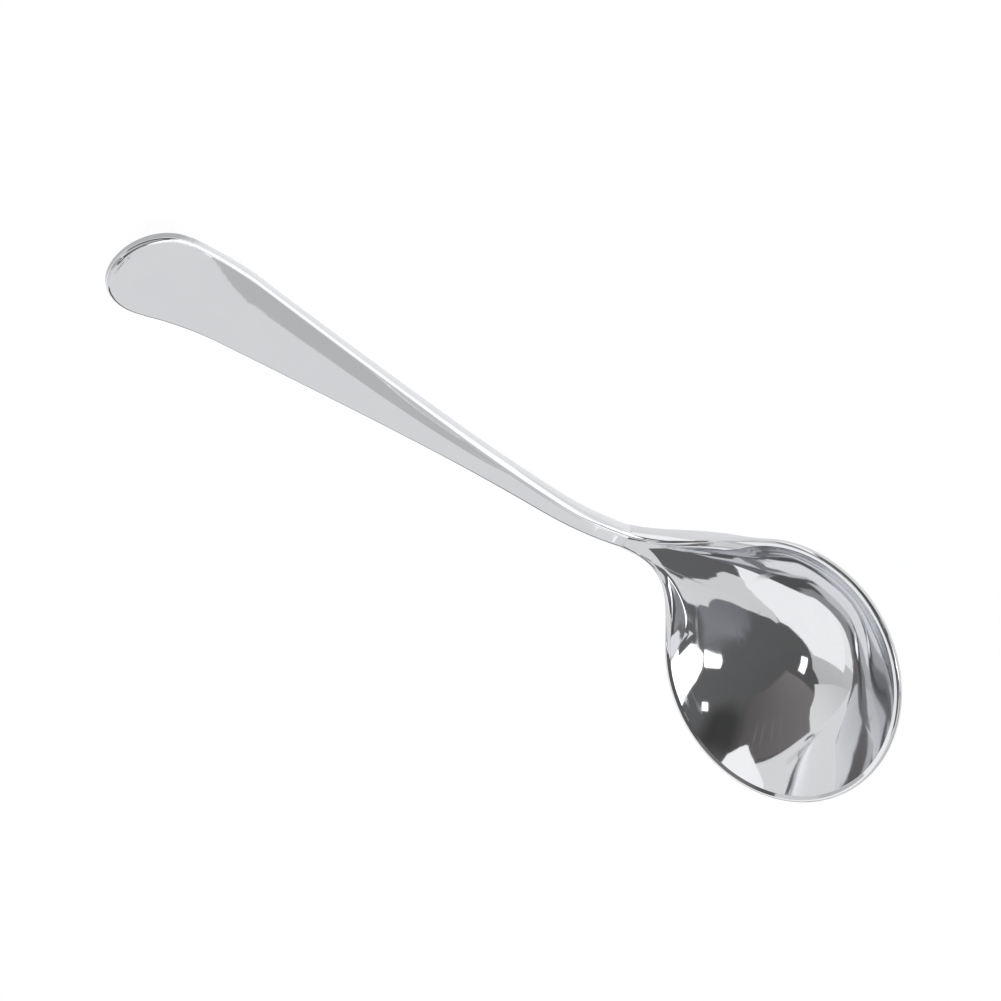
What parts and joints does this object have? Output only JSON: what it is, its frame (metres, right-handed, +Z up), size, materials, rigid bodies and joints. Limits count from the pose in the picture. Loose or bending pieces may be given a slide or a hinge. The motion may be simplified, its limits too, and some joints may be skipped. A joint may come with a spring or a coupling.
{
  "type": "cupping spoon",
  "caption": "Mirror-polished steel tasting spoon with a deep round bowl, a slim upswept neck and a long tapered handle with a turned-up round end.",
  "frame": {"origin": "middle of the small flat sole under the bowl, on the table plane", "axes": "+X from the bowl towards the handle's end, +Z up off the table with the hollow facing up, +Y completes the right-handed frame; the spoon is symmetric about the XZ plane"},
  "size_m": [0.1526, 0.048, 0.0272],
  "materials": {
    "polished_steel_bowl": "mirror-polished stainless steel, drawn shell",
    "polished_steel_handle": "mirror-polished stainless steel, forged bar"
  },
  "bodies": {
    "root": {"bowl": "polished_steel_bowl", "handle": "polished_steel_handle"}
  },
  "joints": []
}
